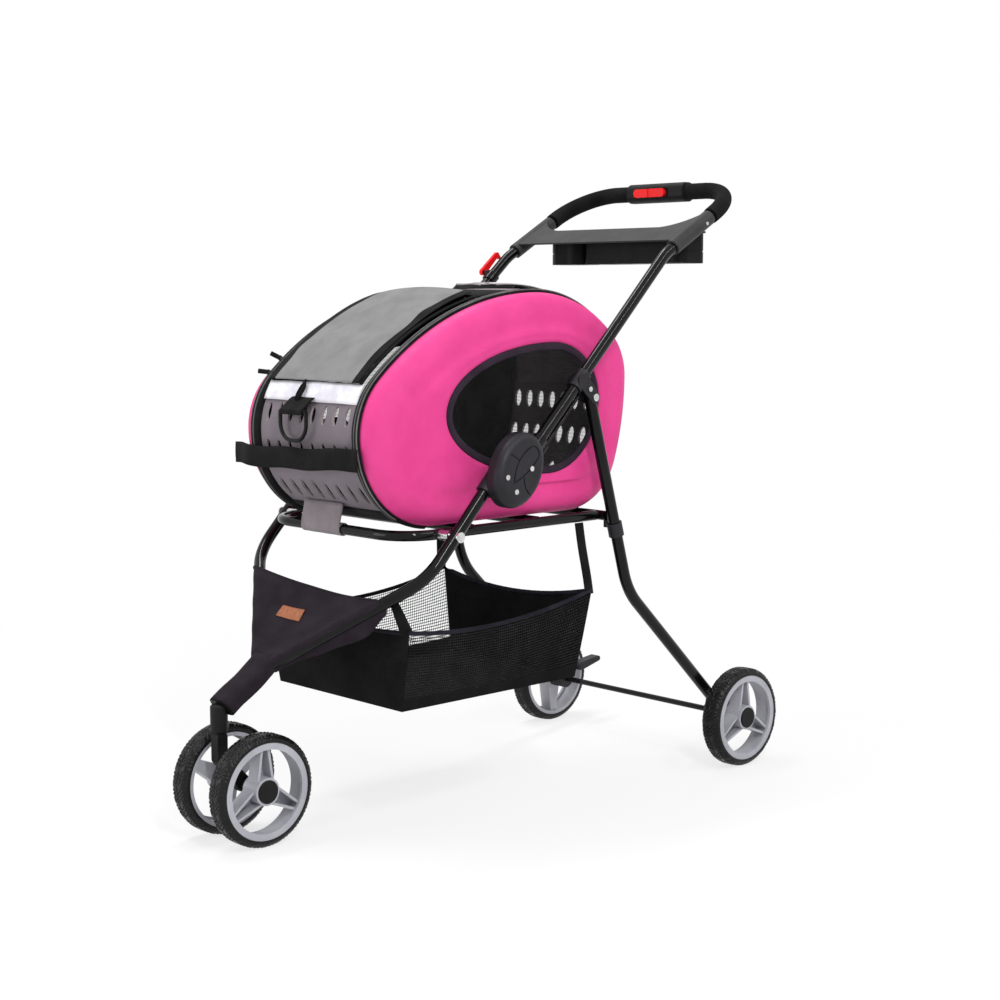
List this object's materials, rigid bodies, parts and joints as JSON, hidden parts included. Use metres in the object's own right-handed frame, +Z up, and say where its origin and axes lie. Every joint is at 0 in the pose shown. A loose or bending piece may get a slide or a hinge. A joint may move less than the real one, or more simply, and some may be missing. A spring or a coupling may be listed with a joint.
{
  "type": "pet stroller",
  "caption": "Folding three-wheel pet stroller: black tube frame, twin caster front wheel, basket, cup tray and a removable moulded carrier with mesh windows",
  "frame": {"origin": "on the floor under the middle of the bounding box", "axes": "+Z up, front wheel towards -Y, +X the stroller's left side"},
  "size_m": [0.5068, 1.05, 1.008],
  "materials": {
    "black_tube": "gloss black lacquer",
    "charcoal_plastic": "fine satin texture",
    "dark_plastic": "satin",
    "steel": "domed and polished",
    "foam": "matte foam",
    "red_plastic": "gloss",
    "rim_plastic": "satin lavender grey",
    "tyre": "matte with tread grooves",
    "pink_shell": "moulded, matte",
    "black_mesh": "open mesh",
    "belt_fabric": "woven with zip bands",
    "grey_plate": "matte",
    "grey_flap": "woven",
    "black_fabric": "woven nylon",
    "black_webbing": "ribbed webbing",
    "grey_webbing": "ribbed webbing"
  },
  "bodies": {
    "front_frame": {"front_leg_left": "black_tube", "front_leg_right": "black_tube", "caster_housing": "charcoal_plastic", "apron": "black_fabric", "fold_pod_left": "charcoal_plastic", "fold_pod_right": "charcoal_plastic", "pod_rivets": "steel", "basket": "black_fabric", "basket_straps": "black_fabric"},
    "caster": {"caster_fork": "charcoal_plastic", "front_axle": "steel"},
    "front_wheel_left": {"front_left_tyre": "tyre", "front_left_rim": "rim_plastic", "front_left_cap": "dark_plastic"},
    "front_wheel_right": {"front_right_tyre": "tyre", "front_right_rim": "rim_plastic", "front_right_cap": "dark_plastic"},
    "push_frame": {"push_tube_left": "black_tube", "push_tube_right": "black_tube", "handle_bar": "black_tube", "grip_left": "foam", "grip_right": "foam", "handle_box": "charcoal_plastic", "tray": "charcoal_plastic", "bracket_left": "charcoal_plastic", "bracket_right": "charcoal_plastic", "push_rivets": "steel", "tube_collars": "charcoal_plastic"},
    "fold_button": {"fold_button": "red_plastic"},
    "storage_latch": {"storage_latch": "red_plastic"},
    "rear_frame": {"rear_leg_left": "black_tube", "rear_leg_right": "black_tube", "rear_knuckle_left": "charcoal_plastic", "rear_knuckle_right": "charcoal_plastic", "rear_axle": "steel", "leg_saddles": "charcoal_plastic"},
    "brake_left": {"brake_pedal_left": "charcoal_plastic"},
    "brake_right": {"brake_pedal_right": "charcoal_plastic"},
    "rear_wheel_left": {"rear_left_tyre": "tyre", "rear_left_rim": "rim_plastic", "rear_left_cap": "dark_plastic"},
    "rear_wheel_right": {"rear_right_tyre": "tyre", "rear_right_rim": "rim_plastic", "rear_right_cap": "dark_plastic"},
    "platform": {"platform_ring": "black_tube", "platform_bars": "black_tube", "platform_pins": "steel", "platform_strap": "grey_webbing"},
    "carrier": {"shell_left": "pink_shell", "shell_right": "pink_shell", "window_left": "black_mesh", "window_right": "black_mesh", "belt": "belt_fabric", "front_plate": "grey_plate", "rear_plate": "grey_plate", "floor_board": "dark_plastic", "front_webbing": "black_webbing"},
    "roof_mesh": {"roof_mesh": "black_mesh"},
    "roof_flap": {"roof_flap": "grey_flap"},
    "d_ring": {"d_ring": "dark_plastic"}
  },
  "joints": [
    {"name": "frame_fold", "type": "hinge", "parent": "front_frame", "child": "push_frame", "pos_m": [0, -0.076, 0.538], "axis": [1, 0, 0], "range_deg": [-84, 0], "deforming": ["basket", "basket_straps"]},
    {"name": "rear_frame_fold", "type": "hinge", "parent": "push_frame", "child": "rear_frame", "pos_m": [0, 0.096, 0.65], "axis": [1, 0, 0], "range_deg": [0, 57.98]},
    {"name": "platform_fold", "type": "hinge", "parent": "front_frame", "child": "platform", "pos_m": [0, -0.19787, 0.455], "axis": [1, 0, 0], "range_deg": [-52.42, 0]},
    {"name": "caster_swivel", "type": "hinge", "parent": "front_frame", "child": "caster", "pos_m": [0, -0.48, 0.172], "axis": [0, 0, 1], "continuous": true},
    {"name": "front_wheel_left_spin", "type": "hinge", "parent": "caster", "child": "front_wheel_left", "pos_m": [0, -0.44, 0.085], "axis": [1, 0, 0], "continuous": true},
    {"name": "front_wheel_right_spin", "type": "hinge", "parent": "caster", "child": "front_wheel_right", "pos_m": [0, -0.44, 0.085], "axis": [1, 0, 0], "continuous": true},
    {"name": "rear_wheel_left_spin", "type": "hinge", "parent": "rear_frame", "child": "rear_wheel_left", "pos_m": [0, 0.44, 0.085], "axis": [1, 0, 0], "continuous": true},
    {"name": "rear_wheel_right_spin", "type": "hinge", "parent": "rear_frame", "child": "rear_wheel_right", "pos_m": [0, 0.44, 0.085], "axis": [1, 0, 0], "continuous": true},
    {"name": "brake_left_press", "type": "hinge", "parent": "rear_frame", "child": "brake_left", "pos_m": [0, 0.46, 0.109], "axis": [1, 0, 0], "range_deg": [-20, 0]},
    {"name": "brake_right_press", "type": "hinge", "parent": "rear_frame", "child": "brake_right", "pos_m": [0, 0.46, 0.109], "axis": [1, 0, 0], "range_deg": [-20, 0]},
    {"name": "carrier_lift", "type": "slide", "parent": "platform", "child": "carrier", "axis": [0, 0, 1], "range_m": [0, 0.35]},
    {"name": "roof_mesh_open", "type": "hinge", "parent": "carrier", "child": "roof_mesh", "pos_m": [0, -0.29333, 0.682], "axis": [1, 0, 0], "range_deg": [0, 80]},
    {"name": "roof_flap_open", "type": "hinge", "parent": "roof_mesh", "child": "roof_flap", "pos_m": [0, -0.29463, 0.684], "axis": [1, 0, 0], "range_deg": [0, 60]},
    {"name": "d_ring_swing", "type": "hinge", "parent": "carrier", "child": "d_ring", "pos_m": [-0.015, -0.3263, 0.636], "axis": [1, 0, 0], "range_deg": [-90, 0]},
    {"name": "fold_button_slide", "type": "slide", "parent": "push_frame", "child": "fold_button", "axis": [1, 0, 0], "range_m": [0, 0.008], "stiffness_N_per_m": 200},
    {"name": "storage_latch_turn", "type": "hinge", "parent": "push_frame", "child": "storage_latch", "pos_m": [-0.2, 0.24121, 0.8511], "axis": [1, 0, 0], "range_deg": [0, 60]}
  ],
  "couplings": [
    {"joint": "rear_frame_fold", "follows": "frame_fold", "ratio": -0.6867},
    {"joint": "platform_fold", "follows": "frame_fold", "ratio": 0.6205}
  ]
}
